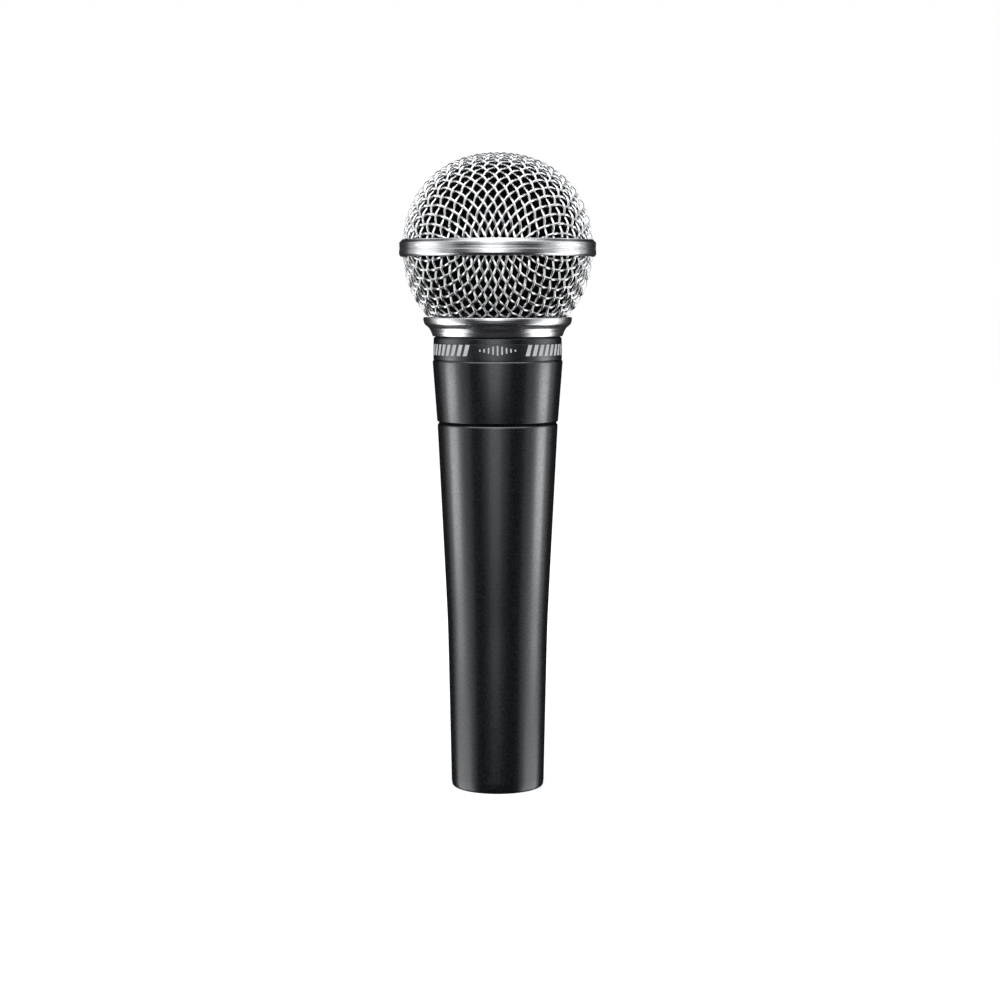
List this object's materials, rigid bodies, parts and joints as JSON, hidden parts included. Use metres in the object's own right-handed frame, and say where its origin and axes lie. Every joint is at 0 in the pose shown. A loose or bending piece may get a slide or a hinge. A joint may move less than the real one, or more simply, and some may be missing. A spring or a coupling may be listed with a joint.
{
  "type": "dynamic microphone",
  "caption": "Handheld dynamic vocal microphone: tapered handle with a male three-pin inlet, screwed head, floating moving-coil capsule, and screwed ball grille of woven wire.",
  "frame": {"origin": "centre of the connector end, the flat rim that the microphone stands on", "axes": "+Z along the handle towards the ball grille, -Y towards the front"},
  "size_m": [0.0502, 0.0502, 0.1629],
  "materials": {
    "enamel": "fine satin stoved enamel on die-cast metal",
    "nickel": "turned and satin nickel plate",
    "wire_cloth": "bright woven steel wire",
    "band": "printed band, satin",
    "foam": "open-cell foam",
    "rubber": "soft rubber",
    "nylon": "moulded nylon",
    "steel": "turned steel",
    "core": "sintered or laminated iron",
    "copper": "enamelled copper winding",
    "silver_plate": "silver plated",
    "board": "phenolic board",
    "felt": "felt and silk",
    "film": "polyester film",
    "yellow_wire": "PVC insulation",
    "green_wire": "PVC insulation",
    "red_wire": "PVC insulation",
    "black_wire": "PVC insulation"
  },
  "bodies": {
    "handle": {"handle_body": "enamel", "connector_insert": "nylon", "connector_pin_1": "silver_plate", "connector_pin_2": "silver_plate", "connector_pin_3": "silver_plate", "ground_lug": "silver_plate", "insert_set_screw": "steel", "transformer_seat": "foam", "transformer_shield": "steel", "transformer_core": "core", "transformer_bobbin": "nylon", "transformer_winding": "copper", "terminal_board": "board", "output_wire_1": "black_wire", "output_wire_2": "red_wire", "output_wire_3": "green_wire"},
    "capsule_leads": {"lead_yellow": "yellow_wire", "lead_green": "green_wire"},
    "head": {"head_housing": "enamel", "name_band": "band", "mount_clamp_ring": "steel", "shock_mount_boot": "rubber"},
    "grille_lining": {"foam_liner": "foam"},
    "grille": {"grille_dome": "wire_cloth", "grille_bowl": "wire_cloth", "grille_ring": "nickel", "grille_collar": "nickel"},
    "capsule": {"capsule_frame": "nylon", "rear_chamber": "steel", "magnet_yoke": "steel", "magnet": "core", "pole_piece": "steel", "damping_felt": "felt", "resonator_cap": "nylon", "capsule_screen": "felt", "capsule_terminal_plate": "board", "capsule_terminal_1": "silver_plate", "capsule_terminal_2": "silver_plate"},
    "moving_coil": {"diaphragm": "film", "voice_coil": "copper"}
  },
  "joints": [
    {"name": "head_lift", "type": "slide", "parent": "handle", "child": "capsule_leads", "axis": [0, 0, 1], "range_m": [0, 0.02501], "deforming": ["lead_yellow", "lead_green"]},
    {"name": "head_turn", "type": "hinge", "parent": "capsule_leads", "child": "head", "pos_m": [0, 0, 0.09], "axis": [0, 0, 1], "range_deg": [0, 7200]},
    {"name": "grille_lift", "type": "slide", "parent": "head", "child": "grille_lining", "axis": [0, 0, 1], "range_m": [0, 0.03001]},
    {"name": "grille_turn", "type": "hinge", "parent": "grille_lining", "child": "grille", "pos_m": [0, 0, 0.1185], "axis": [0, 0, 1], "range_deg": [0, 8640]},
    {"name": "capsule_float", "type": "slide", "parent": "head", "child": "capsule", "axis": [0, 0, 1], "range_m": [-0.001, 0.001], "stiffness_N_per_m": 2500, "deforming": ["shock_mount_boot"]},
    {"name": "diaphragm_travel", "type": "slide", "parent": "capsule", "child": "moving_coil", "axis": [0, 0, 1], "range_m": [-0.0004, 0.0004], "stiffness_N_per_m": 200}
  ],
  "couplings": [
    {"joint": "head_lift", "follows": "head_turn", "m_per_rad": 0.00019894},
    {"joint": "grille_lift", "follows": "grille_turn", "m_per_rad": 0.00019894}
  ]
}
